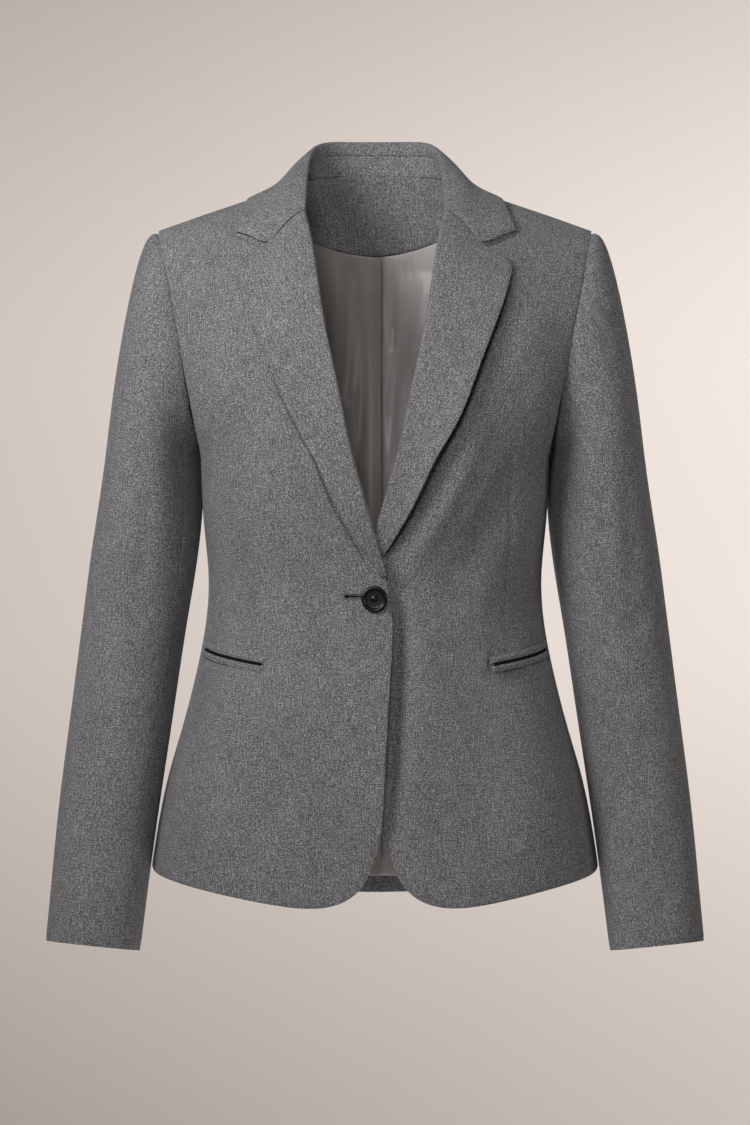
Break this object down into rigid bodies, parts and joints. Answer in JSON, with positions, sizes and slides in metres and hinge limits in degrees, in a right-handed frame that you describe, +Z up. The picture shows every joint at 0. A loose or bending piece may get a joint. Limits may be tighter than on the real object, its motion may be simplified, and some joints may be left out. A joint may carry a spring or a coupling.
{
  "type": "single breasted blazer",
  "caption": "Fitted waist-length blazer in grey wool cloth with notched lapels, a single button closing and slanted welt pockets, filled out as worn.",
  "frame": {"origin": "middle of the neck opening, level with the seam between back and collar at the nape, where the wearer's neck and shoulders hold the blazer up", "axes": "+Z up, -Y out of the front, +X towards the wearer's left arm"},
  "size_m": [0.5692, 0.2481, 0.7098],
  "materials": {
    "wool": "matt woven wool suiting, grey melange",
    "lining": "soft sheen, taupe-grey sateen",
    "button": "polished black"
  },
  "bodies": {
    "root": {"front_right": "wool", "front_left": "wool", "back_right": "wool", "back_left": "wool", "sleeve_upper_right": "wool", "sleeve_upper_left": "wool", "sleeve_under_right": "wool", "sleeve_under_left": "wool", "collar_stand": "wool", "collar_leaf": "wool", "lapel_right": "wool", "lapel_left": "wool", "back_neck_facing": "wool", "lining_right": "lining", "lining_left": "lining", "pocket_right_upper_welt": "wool", "pocket_right_lower_welt": "wool", "pocket_left_upper_welt": "wool", "pocket_left_lower_welt": "wool", "button": "button"}
  },
  "joints": []
}
